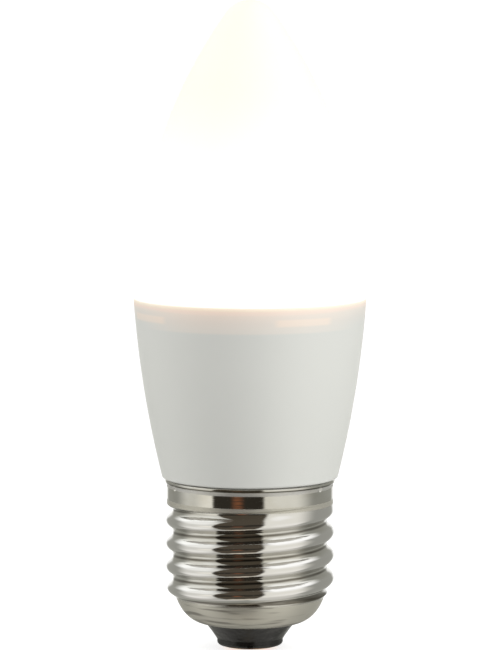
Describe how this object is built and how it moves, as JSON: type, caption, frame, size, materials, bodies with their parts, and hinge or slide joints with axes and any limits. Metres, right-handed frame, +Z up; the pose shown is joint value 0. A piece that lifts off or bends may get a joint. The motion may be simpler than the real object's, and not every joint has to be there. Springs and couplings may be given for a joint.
{
  "type": "candle bulb",
  "caption": "Candle-shaped lamp with an opal pointed diffuser, a tapered white housing and a rolled metal screw cap with a black insulated centre contact.",
  "frame": {"origin": "centre of the flat bottom of the centre contact, on the lamp's axis", "axes": "+Z up the lamp's axis from the screw cap to the candle's tip; +X to the right as seen from the front (the camera's side, at -Y)"},
  "size_m": [0.0364, 0.0364, 0.1013],
  "materials": {
    "opal_plastic": "smooth satin opal plastic, shown lit",
    "white_plastic": "smooth semi-gloss white plastic",
    "aluminium": "pressed, plain",
    "board_white": "white solder mask on an aluminium board",
    "led_phosphor": "yellow phosphor in a white frame, lit",
    "nickel": "bright nickel plate on rolled sheet",
    "black_moulding": "glossy black moulding",
    "contact_brass": "plain brass disc",
    "contact_steel": "bright nickel-plated nail head",
    "circuit_board": "green solder mask",
    "capacitor_sleeve": "dark shrink sleeve",
    "resistor_body": "dull green coating",
    "ferrite": "dark sintered ferrite",
    "copper": "enamelled copper wire, wound",
    "chip_black": "moulded black package",
    "tinned_wire": "tinned copper wire",
    "red_sleeve": "insulated wire",
    "black_sleeve": "insulated wire"
  },
  "bodies": {
    "root": {"contact_pin": "contact_steel", "contact_plate": "contact_brass", "diffuser": "opal_plastic", "driver_board": "circuit_board", "driver_chip": "chip_black", "fusible_resistor": "resistor_body", "heat_sink_cup": "aluminium", "housing": "white_plastic", "inductor_core": "ferrite", "inductor_winding": "copper", "input_capacitor": "capacitor_sleeve", "insulator": "black_moulding", "led_board": "board_white", "led_chip_1": "led_phosphor", "led_chip_2": "led_phosphor", "led_chip_3": "led_phosphor", "led_chip_4": "led_phosphor", "led_chip_5": "led_phosphor", "led_chip_6": "led_phosphor", "led_chip_7": "led_phosphor", "led_chip_8": "led_phosphor", "live_lead": "tinned_wire", "negative_lead": "black_sleeve", "neutral_lead": "tinned_wire", "output_capacitor": "capacitor_sleeve", "positive_lead": "red_sleeve", "rectifier": "chip_black", "screw_shell": "nickel"}
  },
  "joints": []
}
